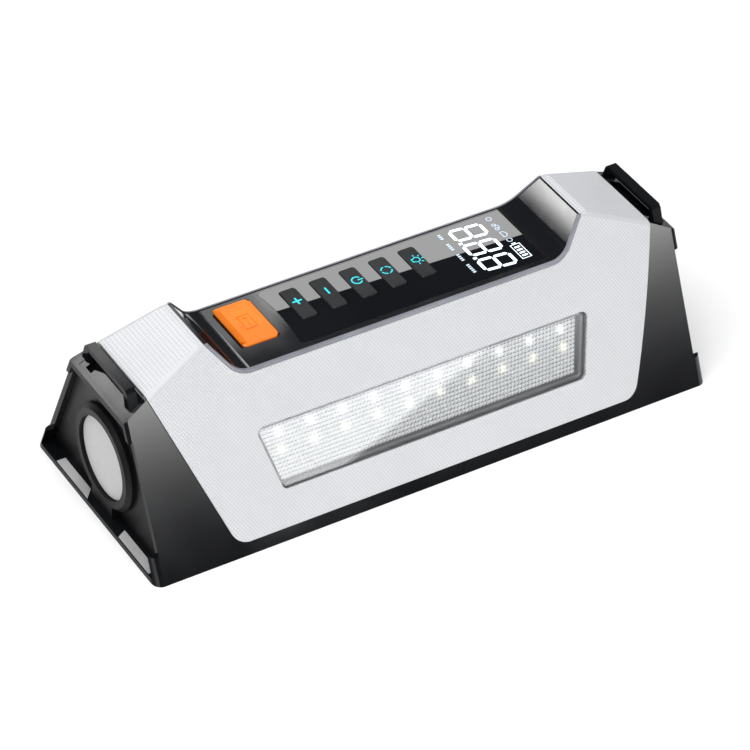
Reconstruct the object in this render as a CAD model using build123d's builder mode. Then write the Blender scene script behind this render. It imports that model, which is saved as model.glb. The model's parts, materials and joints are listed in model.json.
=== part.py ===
from build123d import *
import math
import os

# Car jump starter, tyre inflator and work light in one power bank.
# +X runs along the body towards the air outlet, -Y is the work-light side, +Z is up.
# The origin is the centre of the underside. All sizes are in millimetres.

# ---------------------------------------------------------------- driving dimensions

# body section: a trapezium whose two long sides lean in
FOOT_HALF = 45.5          # half width at the underside
LEAN = 0.455              # inward lean of the long sides per unit of height
LEAN_LENGTH = math.hypot(1, LEAN)
WALL = 2.2
REACH = 130               # longer than the body, for cutting tools

# long profile: end rims, sloping tops, crests and the saddle between the crests
BUMPER_X = 115.5
HOOD_X = 113.6
CHEEK_X = 112.0
BUMPER_TOP = 10
HOOD_BOTTOM = 48.5
RIM_Z = 55.3
SEAM_X = 103.4
SEAM_Z = 60.5
CREST_Z = 71.0
CREST_LEFT = -81.0
CREST_RIGHT = 78.6

# white cover
COVER_PROUD = 0.6
COVER_INSET = 1.8
COVER_FOOT_Z = 4.8
COVER_FOOT_LEFT = -82.0
COVER_FOOT_RIGHT = 84.2
SEAM_BOW = 1.3            # the seam at the outlet end is slightly bowed
SEAM_GAP = 0.15
LEDGE = 1.8

# saddle: outline of the opening in the cover, and the glossy panel lying in it
SADDLE_LEFT = -78.4
SADDLE_RIGHT = 76.0
SADDLE_FLOOR = 57.8
SADDLE_RUN = 9.9          # horizontal run of each ramp
SADDLE_R = 11
PANEL_RISE = 0.9          # visible panel above the opening's outline
PANEL_Z = SADDLE_FLOOR + PANEL_RISE
PANEL_UNDER = 2.0
PANEL_INSET = 0.4         # the visible skin lies on the cover's edge
BACKING_INSET = 2.2       # the layer under it drops inside the cover
TRIM_RISE = 1.25
TRIM_BEVEL = 0.3
FIT = 0.15

# control panel
KEY_X = [-30.6, -18.3, -6.0, 6.3, 18.6]
KEY_NAMES = ["key_plus", "key_minus", "key_power", "key_mode", "key_light"]
KEY_Y = 4.7
KEY_W = 6.4
KEY_L = 17.8
KEY_PROUD = 0.6
KEY_TRAVEL = 0.5
KEY_GAP = 0.25
WINDOW_LEFT = -41.0
WINDOW_RIGHT = 62.6
WINDOW_LEFT_BOW = 1.6     # both ends bow towards +X
WINDOW_RIGHT_BOW = 2.8
WINDOW_FRONT = -15.2
WINDOW_BACK = 17.4
WINDOW_THICK = 1.3
DISPLAY_X = (35.0, 59.0)
DISPLAY_Y = (-13.6, 15.4)
BOARD_TOP = 51.0
BOARD_THICK = 1.6

# jump port and its rubber cover
PORT_X = (-59.5, -44.8)
PORT_Y = (-7.7, 16.05)
PORT_PLATE = 1.2
PORT_PROUD = 0.55

# work light, in the leaning front side
LAMP_X = 2.4
LAMP_TOP = 43.2           # distances up the leaning side from its foot
LAMP_FOOT = 18.5
LAMP_TOP_HALF = 69.1
LAMP_FOOT_HALF = 63.0
LAMP_DEPTH = 9.5
LED_PITCH = 13.05
LED_ROWS = (29.6, 36.2)
LED_COLUMNS = 10

# torch end
TORCH_Z = 24.6
TORCH_R = 16.0
BOSS_R = 20.3

# strap bars
BAR_IN = 106.3
BAR_OUT = 110.0
BAR_TOP = 64.6
BAR_THICK = 2.0
BAR_TOP_HALF = 14.8
BAR_FOOT_HALF = 18.4

# socket bay in the leaning back side
BAY_X = (27.0, 63.0)
BAY_V = (14.0, 29.0)      # distances up the leaning side from its foot

# compressor
MOTOR_Y = -1.0
MOTOR_Z = 18.5
MOTOR_R = 13.0
MOTOR_X = (36.0, 74.0)
GEAR_MODULE = 0.6
PINION_TEETH = 12
GEAR_TEETH = 48
GEAR_Y = MOTOR_Y + GEAR_MODULE * (PINION_TEETH + GEAR_TEETH) / 2
GEAR_X = (77.0, 80.0)
CRANK_R = 5.0
ROD_X = (89.6, 92.4)
CYLINDER_X = 91.0
PISTON_R = 8.0
PISTON_PLAY = 0.05

os.makedirs("parts", exist_ok=True)


# ---------------------------------------------------------------- shared shapes

def half_width(z, inset=0.0):
    """Half width of the body section at height z, for a surface set in by inset."""
    return FOOT_HALF - LEAN * z - inset * LEAN_LENGTH


def body_prism(inset, low=-5.0, high=90.0):
    """The leaning sides, set in by inset, run along X past both ends."""
    with BuildPart() as prism:
        with BuildSketch(Plane.YZ.offset(-REACH)):
            with BuildLine():
                Polyline(
                    (-half_width(low, inset), low),
                    (half_width(low, inset), low),
                    (half_width(high, inset), high),
                    (-half_width(high, inset), high),
                    close=True,
                )
            make_face()
        extrude(amount=2 * REACH)
    return prism.part


def under_tops(inset, low, end_left=-REACH, end_right=REACH):
    """Everything between height low and the sloping tops, with the tops set in by inset."""
    slope = (SEAM_Z - RIM_Z) / (HOOD_X - SEAM_X)
    drop = inset * math.hypot(1, slope)
    with BuildPart() as block:
        with BuildSketch(Plane.XZ):
            with BuildLine():
                Polyline(
                    (end_left, low),
                    (end_left, RIM_Z - slope * (-HOOD_X - end_left) - drop),
                    (-SEAM_X, SEAM_Z - drop),
                    (CREST_LEFT, CREST_Z - inset),
                    (CREST_RIGHT, CREST_Z - inset),
                    (SEAM_X, SEAM_Z - drop),
                    (end_right, RIM_Z - slope * (end_right - HOOD_X) - drop),
                    (end_right, low),
                    close=True,
                )
            make_face()
        extrude(amount=REACH, both=True)
    return block.part


def saddle(grow):
    """The saddle space between the crests, grown outward by grow, through the full width."""
    spread = SADDLE_RUN / (CREST_Z - SADDLE_FLOOR) * (90 - CREST_Z)
    with BuildPart() as space:
        with BuildSketch(Plane.XZ) as outline:
            with BuildLine():
                Polyline(
                    (SADDLE_LEFT - spread, 90),
                    (SADDLE_LEFT + SADDLE_RUN, SADDLE_FLOOR),
                    (SADDLE_RIGHT - SADDLE_RUN, SADDLE_FLOOR),
                    (SADDLE_RIGHT + spread, 90),
                    close=True,
                )
            make_face()
            fillet(outline.vertices().group_by(Axis.Y)[0], radius=SADDLE_R)
            if grow:
                offset(amount=grow, kind=Kind.INTERSECTION)
        extrude(amount=REACH, both=True)
    return space.part


def cover_region(grow):
    """Where the white cover lies, seen from the front, grown by grow, through the full width."""
    mid_z = (COVER_FOOT_Z + SEAM_Z) / 2
    mid_x = (COVER_FOOT_RIGHT + SEAM_X) / 2 + SEAM_BOW
    with BuildPart() as region:
        with BuildSketch(Plane.XZ) as outline:
            with BuildLine():
                Polyline(
                    (SEAM_X, SEAM_Z),
                    (SEAM_X, 90),
                    (-SEAM_X, 90),
                    (-SEAM_X, SEAM_Z),
                    (COVER_FOOT_LEFT, COVER_FOOT_Z),
                    (COVER_FOOT_RIGHT, COVER_FOOT_Z),
                )
                ThreePointArc((COVER_FOOT_RIGHT, COVER_FOOT_Z), (mid_x, mid_z), (SEAM_X, SEAM_Z))
            make_face()
            fillet(outline.vertices().group_by(Axis.Y)[0], radius=7)
            if grow:
                offset(amount=grow, kind=Kind.INTERSECTION)
        extrude(amount=REACH, both=True)
    return region.part


def lean_plane(side, depth=0.0, x=0.0):
    """Plane on a leaning side (-1 front, +1 back): x along the body, y up the side, z outward.

    depth is how far the plane lies under the side.
    """
    origin = Vector(x, side * FOOT_HALF, 0)
    outward = Vector(0, side, LEAN).normalized()
    return Plane(origin=origin - outward * depth, x_dir=(-side, 0, 0), z_dir=outward)


def lamp_outline(grow, depth):
    """Trapezium of the work light on a plane lying depth under the front side."""
    with BuildSketch(lean_plane(-1, depth, LAMP_X)) as outline:
        with BuildLine():
            Polyline(
                (-LAMP_FOOT_HALF, LAMP_FOOT),
                (LAMP_FOOT_HALF, LAMP_FOOT),
                (LAMP_TOP_HALF, LAMP_TOP),
                (-LAMP_TOP_HALF, LAMP_TOP),
                close=True,
            )
        make_face()
        fillet(outline.vertices(), radius=2.4)
        if grow:
            offset(amount=grow)
    return outline.sketch


def box_between(x, y, z):
    """Plain block from three (low, high) pairs."""
    with BuildPart() as block:
        with Locations(((x[0] + x[1]) / 2, (y[0] + y[1]) / 2, (z[0] + z[1]) / 2)):
            Box(x[1] - x[0], y[1] - y[0], z[1] - z[0])
    return block.part


def save(builder, name):
    """Label a finished piece and write it under its node name."""
    builder.part.label = name
    export_step(builder.part, f"parts/{name}.step")


# ---------------------------------------------------------------- case

SCREW_SPOTS = [(-79, -31), (79, -31), (-79, 31), (70, 31)]
POST_FOOT = 8.0
POST_R = 3.2
SCREW_R = 1.1
FOOT_SPOTS = [(x, y) for x in (-98, 98) for y in (-34, 34)]
FOOT_R = 6.0
FOOT_SUNK = 1.0


def shell_hollow():
    """Inside of the case, open through both ends."""
    with BuildPart() as hollow:
        add(body_prism(WALL))
        add(under_tops(WALL, WALL), mode=Mode.INTERSECT)
    return hollow.part


def seam_ledge():
    """Rib behind the seam that the white cover's edge lies on."""
    with BuildPart() as inner:
        add(body_prism(COVER_INSET + FIT + LEDGE))
        add(under_tops(COVER_INSET + FIT + LEDGE, -5), mode=Mode.INTERSECT)
    with BuildPart() as rib:
        add(body_prism(COVER_INSET + FIT))
        add(under_tops(COVER_INSET + FIT, WALL - 0.5), mode=Mode.INTERSECT)
        add(inner.part, mode=Mode.SUBTRACT)
        add(cover_region(2.0), mode=Mode.INTERSECT)
        add(cover_region(-3.0), mode=Mode.SUBTRACT)
    return rib.part


# lower shell: floor, end cheeks and hoods in one moulding, with a ledge behind the seam
with BuildPart() as lower_shell:
    add(body_prism(0, low=0))
    add(under_tops(0, -5, -BUMPER_X, BUMPER_X), mode=Mode.INTERSECT)
    corner_posts = lower_shell.edges().filter_by(
        lambda edge: abs(edge.center().X) > BUMPER_X - 0.1 and abs(edge.tangent_at(0.5).Z) > 0.8
    )
    fillet(corner_posts, radius=3.5)
    add(shell_hollow(), mode=Mode.SUBTRACT)
    for side in (-1, 1):
        rim_cut = sorted((side * HOOD_X, side * REACH))
        cheek_cut = sorted((side * CHEEK_X, side * REACH))
        add(box_between(rim_cut, (-60, 60), (BUMPER_TOP, 90)), mode=Mode.SUBTRACT)
        add(box_between(cheek_cut, (-60, 60), (BUMPER_TOP, HOOD_BOTTOM)), mode=Mode.SUBTRACT)
    add(cover_region(SEAM_GAP), mode=Mode.SUBTRACT)
    add(seam_ledge())
    with Locations([(x, y, POST_FOOT / 2) for x, y in SCREW_SPOTS]):
        Cylinder(3.6, POST_FOOT - 0.4)
    with Locations([(x, y, 0) for x, y in SCREW_SPOTS]):
        Cylinder(SCREW_R + 0.2, 40, mode=Mode.SUBTRACT)
        Cylinder(2.9, 8, mode=Mode.SUBTRACT)
    # shallow recesses for the rubber feet
    with Locations([(x, y, 0) for x, y in FOOT_SPOTS]):
        Cylinder(FOOT_R + 0.1, 2 * FOOT_SUNK, mode=Mode.SUBTRACT)
    # openings under the strap plates
    for side in (-1, 1):
        slot = sorted((side * (SEAM_X + 0.2), side * (HOOD_X - 1.4)))
        add(box_between(slot, (-15.6, 15.6), (50, 70)), mode=Mode.SUBTRACT)
save(lower_shell, "lower_shell")


def screw_post(x, y):
    """Round post with a pilot hole, trimmed to the leaning side above it."""
    with BuildPart() as post:
        with Locations((x, y, POST_FOOT + 20)):
            Cylinder(POST_R, 40)
        add(body_prism(-0.1), mode=Mode.INTERSECT)
        with Locations((x, y, POST_FOOT)):
            Cylinder(SCREW_R + 0.05, 24, mode=Mode.SUBTRACT)
    return post.part


# white cover: both leaning sides and both sloping tops in one moulding
with BuildPart() as upper_cover:
    add(body_prism(-COVER_PROUD))
    add(under_tops(-COVER_PROUD, -5), mode=Mode.INTERSECT)
    shoulders = upper_cover.edges().filter_by(
        lambda edge: edge.center().Z > SEAM_Z - 15 and abs(edge.tangent_at(0.5).Y) < 0.3
    )
    fillet(shoulders, radius=2.4)
    add(body_prism(COVER_INSET).intersect(under_tops(COVER_INSET, -10)), mode=Mode.SUBTRACT)
    add(cover_region(0), mode=Mode.INTERSECT)
    add(saddle(0), mode=Mode.SUBTRACT)
    extrude(lamp_outline(0, 5), amount=10, mode=Mode.SUBTRACT)
    # socket bay opening
    bay_mid = (BAY_X[0] + BAY_X[1]) / 2
    with BuildSketch(lean_plane(1, 5, bay_mid)):
        with Locations((0, (BAY_V[0] + BAY_V[1]) / 2)):
            RectangleRounded(BAY_X[1] - BAY_X[0], BAY_V[1] - BAY_V[0], 1.5)
    extrude(amount=10, mode=Mode.SUBTRACT)
    # cooling slots over the compressor, and a matching set over the battery
    for vent_x in (-45, 84):
        with BuildSketch(lean_plane(1, 5, vent_x)):
            with GridLocations(3.6, 0, 5, 1):
                with Locations((0, 33 if vent_x < 0 else 40)):
                    SlotOverall(13, 1.7, rotation=90)
        extrude(amount=10, mode=Mode.SUBTRACT)
    # screw posts hanging from the leaning sides
    for x, y in SCREW_SPOTS:
        add(screw_post(x, y))
save(upper_cover, "upper_cover")

# ---------------------------------------------------------------- ends

END_FACE = 109.5          # outer face of both end panels
END_THICK = 2.0
END_LOW = WALL + 0.1
LENS_FACE = 111.2

for side, name in ((-1, "left_end_panel"), (1, "right_end_panel")):
    plane = Plane.YZ.offset(side * (END_FACE - END_THICK))
    with BuildPart() as end_panel:
        add(body_prism(WALL + 0.1))
        add(under_tops(WALL + 2.6, END_LOW), mode=Mode.INTERSECT)
        faces_x = sorted((side * END_FACE, side * (END_FACE - END_THICK)))
        add(box_between(faces_x, (-60, 60), (0, 90)), mode=Mode.INTERSECT)
        with BuildSketch(plane):
            with Locations((0, TORCH_Z)):
                Circle(BOSS_R)
            with Locations((0, 6)):
                Rectangle(15, 12 - 2 * END_LOW + 4)
        extrude(amount=side * (END_THICK + 3.2))
        add(box_between((-REACH, REACH), (-60, 60), (-20, END_LOW)), mode=Mode.SUBTRACT)
        rims = end_panel.edges().filter_by(GeomType.CIRCLE).filter_by(
            lambda edge, s=side: s * edge.center().X > END_FACE + 3
        )
        chamfer(rims, length=1.6)
        with BuildSketch(plane.offset(-side * 1)):
            with Locations((0, TORCH_Z)):
                Circle(TORCH_R + 0.1 if side < 0 else 5.0)
        extrude(amount=side * 20, mode=Mode.SUBTRACT)
    save(end_panel, name)

# torch: frosted lens, reflector cup, LED on its own board
with BuildPart() as torch_lens:
    with BuildSketch(Plane.YZ.offset(-LENS_FACE)):
        with Locations((0, TORCH_Z)):
            Circle(TORCH_R)
    extrude(amount=1.8)
    chamfer(torch_lens.faces().sort_by(Axis.X)[0].edges(), length=0.3)
save(torch_lens, "torch_lens")

CUP_FRONT = LENS_FACE - 1.9
with BuildPart() as torch_reflector:
    with BuildSketch(Plane.XZ):
        with BuildLine():
            Polyline(
                (-CUP_FRONT, TORCH_Z + 15.0),
                (-CUP_FRONT, TORCH_Z + TORCH_R - 0.1),
                (-CUP_FRONT + 2.2, TORCH_Z + TORCH_R - 0.1),
                (-CUP_FRONT + 11.5, TORCH_Z + 5.0),
                (-CUP_FRONT + 11.5, TORCH_Z + 3.4),
                close=True,
            )
        make_face()
    revolve(axis=Axis((0, 0, TORCH_Z), (1, 0, 0)))
save(torch_reflector, "torch_reflector")

CUP_BACK = -CUP_FRONT + 11.7
with BuildPart() as torch_board:
    with BuildSketch(Plane.YZ.offset(CUP_BACK)):
        with Locations((0, TORCH_Z)):
            Circle(11)
    extrude(amount=1.6)
save(torch_board, "torch_board")

with BuildPart() as torch_led:
    add(box_between((CUP_BACK - 1.1, CUP_BACK), (-2.5, 2.5), (TORCH_Z - 2.5, TORCH_Z + 2.5)))
    with Locations(Location((CUP_BACK - 1.1, 0, TORCH_Z), (0, -90, 0))):
        Cylinder(1.7, 1.2)
save(torch_led, "torch_led")

# strap plates: an inset plate on each sloping hood, scooped under a bridge for a wrist strap
STRAP_HALF = 15.45
SCOOP_HALF = 12.5
BAR_FOOT_Z = 55.2


def top_layer(upper, lower):
    """Layer that follows the sloping tops, between two insets."""
    with BuildPart() as layer:
        add(under_tops(upper, 40))
        add(under_tops(lower, 20), mode=Mode.SUBTRACT)
    return layer.part


for side, name in ((-1, "left_strap_bar"), (1, "right_strap_bar")):
    plate_x = sorted((side * (SEAM_X + 0.35), side * (HOOD_X - 1.55)))
    scoop_x = sorted((side * (SEAM_X + 1.6), side * (HOOD_X - 2.4)))
    plate_box = box_between(plate_x, (-STRAP_HALF, STRAP_HALF), (40, 80))
    scoop_box = box_between(scoop_x, (-SCOOP_HALF, SCOOP_HALF), (40, 80))
    scoop_floor = top_layer(2.2, 3.4).intersect(plate_box)
    with BuildPart() as strap_bar:
        with BuildSketch(Plane.YZ.offset(min(side * BAR_IN, side * BAR_OUT))):
            with BuildLine():
                Polyline(
                    (-BAR_FOOT_HALF, BAR_FOOT_Z),
                    (-BAR_TOP_HALF - 0.6, BAR_TOP - 1.2),
                    (-BAR_TOP_HALF + 0.6, BAR_TOP),
                    (BAR_TOP_HALF - 0.6, BAR_TOP),
                    (BAR_TOP_HALF + 0.6, BAR_TOP - 1.2),
                    (BAR_FOOT_HALF, BAR_FOOT_Z),
                    (BAR_FOOT_HALF - 4.2, BAR_FOOT_Z),
                    (BAR_TOP_HALF - 1.8, BAR_TOP - BAR_THICK),
                    (-BAR_TOP_HALF + 1.8, BAR_TOP - BAR_THICK),
                    (-BAR_FOOT_HALF + 4.2, BAR_FOOT_Z),
                    close=True,
                )
            make_face()
        extrude(amount=BAR_OUT - BAR_IN)
        for end in (-1, 1):
            hood_y = sorted((end * STRAP_HALF, end * 40))
            hood = under_tops(-0.1, 20).intersect(box_between((-REACH, REACH), hood_y, (0, 90)))
            add(hood, mode=Mode.SUBTRACT)
        add(top_layer(0.2, 2.6).intersect(plate_box))
        add(scoop_box.intersect(top_layer(-0.1, 5)), mode=Mode.SUBTRACT)
        add(scoop_floor)
    save(strap_bar, name)

# ---------------------------------------------------------------- control panel

KEY_SPOTS = [(x, KEY_Y) for x in KEY_X]
DISPLAY_MID = (sum(DISPLAY_X) / 2, sum(DISPLAY_Y) / 2)
DISPLAY_SIZE = (DISPLAY_X[1] - DISPLAY_X[0], DISPLAY_Y[1] - DISPLAY_Y[0])
PORT_MID = (sum(PORT_X) / 2, sum(PORT_Y) / 2)
PORT_SIZE = (PORT_X[1] - PORT_X[0], PORT_Y[1] - PORT_Y[0])
SOCKET_SIZE = (PORT_SIZE[0] - 1.6, PORT_SIZE[1] - 2.4)
UNDER_Z = SADDLE_FLOOR - PANEL_UNDER
POST_SPOTS = [(-38, -11), (-38, 13), (28, -11), (28, 13)]


def window_outline(grow):
    """Panel window: both ends bowed towards +X, corners rounded."""
    middle_y = (WINDOW_FRONT + WINDOW_BACK) / 2
    with BuildSketch(Plane.XY.offset(PANEL_Z)) as outline:
        with BuildLine():
            Line((WINDOW_LEFT, WINDOW_FRONT), (WINDOW_RIGHT, WINDOW_FRONT))
            ThreePointArc(
                (WINDOW_RIGHT, WINDOW_FRONT),
                (WINDOW_RIGHT + WINDOW_RIGHT_BOW, middle_y),
                (WINDOW_RIGHT, WINDOW_BACK),
            )
            Line((WINDOW_RIGHT, WINDOW_BACK), (WINDOW_LEFT, WINDOW_BACK))
            ThreePointArc(
                (WINDOW_LEFT, WINDOW_BACK),
                (WINDOW_LEFT + WINDOW_LEFT_BOW, middle_y),
                (WINDOW_LEFT, WINDOW_FRONT),
            )
        make_face()
        fillet(outline.vertices(), radius=2.0)
        if grow:
            offset(amount=grow)
    return outline.sketch


def bezel_backing():
    """Thicker layer of the panel, kept below the cover's crests."""
    with BuildPart() as backing:
        add(saddle(PANEL_UNDER))
        add(saddle(-FIT - 0.2), mode=Mode.SUBTRACT)
        below_crest = box_between((-REACH, REACH), (-40, 40), (0, CREST_Z - COVER_INSET - 0.6))
        add(below_crest, mode=Mode.INTERSECT)
        add(body_prism(BACKING_INSET), mode=Mode.INTERSECT)
    return backing.part


# glossy saddle panel: floor and both ramps in one piece
with BuildPart() as panel_bezel:
    add(saddle(-FIT))
    add(saddle(-PANEL_RISE), mode=Mode.SUBTRACT)
    add(box_between((-REACH, REACH), (-40, 40), (0, CREST_Z + 0.1)), mode=Mode.INTERSECT)
    add(bezel_backing())
    add(body_prism(PANEL_INSET), mode=Mode.INTERSECT)
    extrude(window_outline(FIT), amount=-WINDOW_THICK - 0.1, mode=Mode.SUBTRACT)
    with BuildSketch(Plane.XY.offset(UNDER_Z - 1)):
        with Locations(*KEY_SPOTS):
            RectangleRounded(KEY_W + 2 * KEY_GAP, KEY_L + 2 * KEY_GAP, 1.4)
        with Locations(DISPLAY_MID):
            Rectangle(DISPLAY_SIZE[0] + 0.6, DISPLAY_SIZE[1] + 0.6)
        with Locations(PORT_MID):
            RectangleRounded(*SOCKET_SIZE, 1.5)
    extrude(amount=10, mode=Mode.SUBTRACT)
    with BuildSketch(Plane.XY.offset(PANEL_Z - PORT_PLATE + PORT_PROUD - 0.1)):
        with Locations(PORT_MID):
            RectangleRounded(PORT_SIZE[0] + 0.5, PORT_SIZE[1] + 0.5, 2.0)
    extrude(amount=10, mode=Mode.SUBTRACT)
    # standoffs for the key board
    with BuildSketch(Plane.XY.offset(BOARD_TOP)):
        with Locations(*POST_SPOTS):
            Circle(2.2)
    extrude(until=Until.NEXT)
    with BuildSketch(Plane.XY.offset(BOARD_TOP)):
        with Locations(*POST_SPOTS):
            Circle(0.85)
    extrude(amount=4.5, mode=Mode.SUBTRACT)
save(panel_bezel, "panel_bezel")

# grey trim beside the panel, with a bevel along its outer edge
with BuildPart() as trim_pair:
    add(saddle(-FIT))
    add(saddle(-TRIM_RISE), mode=Mode.SUBTRACT)
    add(box_between((-REACH, REACH), (-40, 40), (0, CREST_Z + 0.3)), mode=Mode.INTERSECT)
    add(body_prism(-COVER_PROUD + 0.1), mode=Mode.INTERSECT)
    add(body_prism(PANEL_INSET - 0.1), mode=Mode.SUBTRACT)


def trim_top_edges(piece, side):
    """Upper long edges of a trim strip's outer face."""
    outward = Vector(0, side, LEAN).normalized()
    outer_face = piece.faces().filter_by(lambda face: face.normal_at().dot(outward) > 0.999)[0]
    near_top = saddle(0.2 - TRIM_RISE)
    return [edge for edge in outer_face.edges() if near_top.is_inside(edge.position_at(0.5))]


for side, name in ((-1, "panel_trim_front"), (1, "panel_trim_back")):
    with BuildPart() as panel_trim:
        strip_y = sorted((0, side * 60))
        add(trim_pair.part)
        add(box_between((-REACH, REACH), strip_y, (0, 90)), mode=Mode.INTERSECT)
        chamfer(trim_top_edges(panel_trim.part, side), length=TRIM_BEVEL)
    save(panel_trim, name)

# clear panel window with openings for the keys
with BuildPart() as panel_window:
    extrude(window_outline(0), amount=-WINDOW_THICK)
    with BuildSketch(Plane.XY.offset(PANEL_Z - 5)):
        with Locations(*KEY_SPOTS):
            RectangleRounded(KEY_W + 2 * KEY_GAP, KEY_L + 2 * KEY_GAP, 1.4)
    extrude(amount=10, mode=Mode.SUBTRACT)
save(panel_window, "panel_window")

# keys: a domed cap through the window, held up under the panel by its flange
KEY_FLANGE_TOP = UNDER_Z - 0.25
KEY_FLANGE = 1.0
for x, name in zip(KEY_X, KEY_NAMES):
    with BuildPart() as key:
        with BuildSketch(Plane.XY.offset(KEY_FLANGE_TOP - 0.5)):
            with Locations((x, KEY_Y)):
                RectangleRounded(KEY_W, KEY_L, 1.2)
        extrude(amount=PANEL_Z + KEY_PROUD - KEY_FLANGE_TOP + 0.5)
        chamfer(key.faces().sort_by(Axis.Z)[-1].edges(), length=0.35)
        with BuildSketch(Plane.XY.offset(KEY_FLANGE_TOP - KEY_FLANGE)):
            with Locations((x, KEY_Y)):
                RectangleRounded(KEY_W + 1.8, KEY_L + 1.8, 1.5)
        extrude(amount=KEY_FLANGE)
    save(key, name)

# key board with one switch under each key
with BuildPart() as key_board:
    with BuildSketch(Plane.XY.offset(BOARD_TOP - BOARD_THICK)):
        with Locations(((-42 + 61) / 2, 1)):
            RectangleRounded(103, 29, 2)
        with Locations(*POST_SPOTS):
            Circle(1.1, mode=Mode.SUBTRACT)
    extrude(amount=BOARD_THICK - 0.02)
save(key_board, "key_board")

SWITCH_TOP = KEY_FLANGE_TOP - KEY_FLANGE - KEY_TRAVEL - 0.3
with BuildPart() as key_switches:
    with BuildSketch(Plane.XY.offset(BOARD_TOP)):
        with Locations(*KEY_SPOTS):
            Rectangle(4.5, 4.5)
    extrude(amount=SWITCH_TOP - 0.6 - BOARD_TOP)
    with BuildSketch(Plane.XY.offset(BOARD_TOP)):
        with Locations(*KEY_SPOTS):
            Circle(1.2)
    extrude(amount=SWITCH_TOP - BOARD_TOP)
save(key_switches, "key_switches")

with BuildPart() as board_screws:
    for x, y in POST_SPOTS:
        with BuildSketch(Plane.XY.offset(BOARD_TOP - BOARD_THICK - 1.2)):
            with Locations((x, y)):
                Circle(1.9)
        extrude(amount=1.18)
        with BuildSketch(Plane.XY.offset(BOARD_TOP - BOARD_THICK - 1.2)):
            with Locations((x, y)):
                Circle(0.8)
        extrude(amount=6)
save(board_screws, "board_screws")

with BuildPart() as display_module:
    with BuildSketch(Plane.XY.offset(BOARD_TOP)):
        with Locations(DISPLAY_MID):
            Rectangle(*DISPLAY_SIZE)
    extrude(amount=PANEL_Z - WINDOW_THICK - 0.25 - BOARD_TOP)
save(display_module, "display_module")

# ---------------------------------------------------------------- jump port

SOCKET_FLOOR = 45.5
SOCKET_LOW = 41.5
CAVITY_WALL = 1.4
CAVITY = (SOCKET_SIZE[0] - 2 * CAVITY_WALL - 0.4, SOCKET_SIZE[1] - 2 * CAVITY_WALL - 0.4)
POLE_PITCH = 9.0
POLE_Y = [PORT_MID[1] - POLE_PITCH / 2, PORT_MID[1] + POLE_PITCH / 2]
SOCKET_TOP = PANEL_Z - PORT_PLATE + PORT_PROUD - 0.3

with BuildPart() as jump_socket:
    with BuildSketch(Plane.XY.offset(SOCKET_LOW)):
        with Locations(PORT_MID):
            RectangleRounded(SOCKET_SIZE[0] - 0.4, SOCKET_SIZE[1] - 0.4, 1.3)
    extrude(amount=SOCKET_TOP - SOCKET_LOW)
    with BuildSketch(Plane.XY.offset(SOCKET_FLOOR)):
        with Locations(PORT_MID):
            RectangleRounded(*CAVITY, 1.0)
    extrude(amount=30, mode=Mode.SUBTRACT)
    with BuildSketch(Plane.XY.offset(SOCKET_LOW - 1)):
        with Locations(*[(PORT_MID[0], y) for y in POLE_Y]):
            Circle(3.05)
    extrude(amount=30, mode=Mode.SUBTRACT)
save(jump_socket, "jump_socket")

with BuildPart() as jump_contacts:
    with BuildSketch(Plane.XY.offset(SOCKET_LOW - 1.0)):
        with Locations(*[(PORT_MID[0], y) for y in POLE_Y]):
            Circle(3.0)
            Circle(2.2, mode=Mode.SUBTRACT)
    extrude(amount=SOCKET_FLOOR - SOCKET_LOW + 0.9)
    with BuildSketch(Plane.XY.offset(SOCKET_LOW - 1.0)):
        with Locations(*[(PORT_MID[0], y) for y in POLE_Y]):
            Circle(3.0)
    extrude(amount=1.0)
save(jump_contacts, "jump_contacts")

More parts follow.
